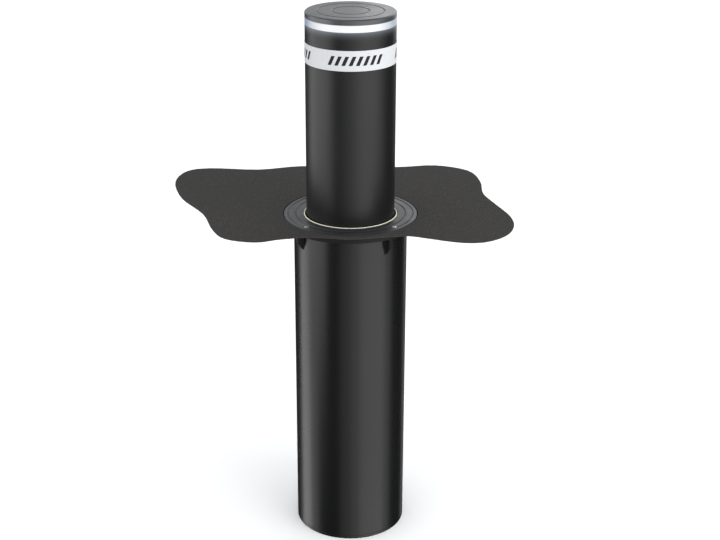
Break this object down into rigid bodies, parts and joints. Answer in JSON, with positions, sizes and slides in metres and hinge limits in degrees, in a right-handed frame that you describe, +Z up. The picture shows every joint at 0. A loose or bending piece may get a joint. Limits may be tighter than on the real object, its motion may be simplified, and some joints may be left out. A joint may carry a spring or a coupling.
{
  "type": "retractable bollard",
  "caption": "Round motor-driven bollard that rises from a buried casing, with light ring, reflective band, flange, cover ring and pavement patch.",
  "frame": {"origin": "centre of the underside of the base plate, on the bollard's axis", "axes": "+Z up along the bollard's axis; -Y is the front; +Y is the back, where the conduit socket and the drain spigot are"},
  "size_m": [0.8633, 0.5883, 1.366],
  "materials": {
    "coated_steel": "satin anthracite powder coat with a fine orange peel",
    "cast_cover": "satin grey coated casting with turned grooves",
    "cap_coat": "matt grey fine-texture coat",
    "light_lens": "lit milky white light ring",
    "reflective_tape": "white prismatic reflective tape with dark slanted bars",
    "asphalt": "dark rolled asphalt grain",
    "seal_polymer": "cream wiper lip",
    "guide_polymer": "black slippery polymer",
    "stainless": "stainless steel",
    "ground_steel": "ground and hardened steel",
    "zinc_steel": "zinc plated steel",
    "cast_alloy": "cast and machined alloy",
    "motor_coat": "dark blue-grey motor enamel",
    "bronze": "bearing bronze",
    "buffer_rubber": "black rubber",
    "cable_jacket": "black cable jacket",
    "circuit_board": "green circuit board",
    "box_plastic": "light grey plastic box",
    "sensor_body": "plated sensor barrel"
  },
  "bodies": {
    "root": {"base_plate": "coated_steel", "casing_tube": "coated_steel", "top_flange": "coated_steel", "flange_gusset_1": "coated_steel", "flange_gusset_2": "coated_steel", "flange_gusset_3": "coated_steel", "flange_gusset_4": "coated_steel", "cover_ring": "cast_cover", "pavement_patch": "asphalt", "wiper_seal": "seal_polymer", "guide_bush": "guide_polymer", "cover_ring_screw_1": "stainless", "cover_ring_screw_2": "stainless", "cover_ring_screw_3": "stainless", "cover_ring_screw_4": "stainless", "guide_rod_1": "ground_steel", "guide_rod_2": "ground_steel", "guide_rod_3": "ground_steel", "drive_deck": "zinc_steel", "deck_post_1": "zinc_steel", "deck_post_2": "zinc_steel", "deck_post_3": "zinc_steel", "top_spider": "zinc_steel", "conduit_socket": "zinc_steel", "drain_spigot": "zinc_steel", "guide_collar": "cast_alloy", "gear_case": "cast_alloy", "thrust_bearing": "cast_alloy", "top_bearing": "cast_alloy", "motor_can": "motor_coat", "brake_coil": "motor_coat", "stop_buffer_1": "buffer_rubber", "stop_buffer_2": "buffer_rubber", "stop_buffer_3": "buffer_rubber", "lamp_cable": "cable_jacket", "junction_box": "box_plastic", "upper_limit_sensor": "sensor_body", "lower_limit_sensor": "sensor_body"},
    "bollard": {"bollard_tube": "coated_steel", "head_flange": "zinc_steel", "led_carrier": "cast_alloy", "led_strip": "circuit_board", "light_lens": "light_lens", "top_cap": "cap_coat", "reflective_band": "reflective_tape", "crosshead": "zinc_steel", "ball_nut": "bronze", "stop_collar": "zinc_steel", "wear_ring": "guide_polymer", "cap_screw_1": "stainless", "cap_screw_2": "stainless", "cap_screw_3": "stainless", "cap_screw_4": "stainless", "linear_bush_1": "bronze", "linear_bush_2": "bronze", "linear_bush_3": "bronze"},
    "screw": {"lead_screw": "ground_steel", "drive_gear": "bronze"},
    "motor_rotor": {"pinion_shaft": "ground_steel"}
  },
  "joints": [
    {"name": "bollard_lift", "type": "slide", "parent": "root", "child": "bollard", "axis": [0, 0, 1], "range_m": [-0.5, 0], "deforming": ["lamp_cable"]},
    {"name": "screw_spin", "type": "hinge", "parent": "root", "child": "screw", "pos_m": [0, 0, 0.1], "axis": [0, 0, 1], "range_deg": [-0.5, 4500.5]},
    {"name": "motor_spin", "type": "hinge", "parent": "root", "child": "motor_rotor", "pos_m": [0.075, 0, 0.1], "axis": [0, 0, 1], "range_deg": [-10500.5, 0.5]}
  ],
  "couplings": [
    {"joint": "screw_spin", "follows": "bollard_lift", "rad_per_m": -157.08},
    {"joint": "motor_spin", "follows": "bollard_lift", "rad_per_m": 366.52}
  ]
}
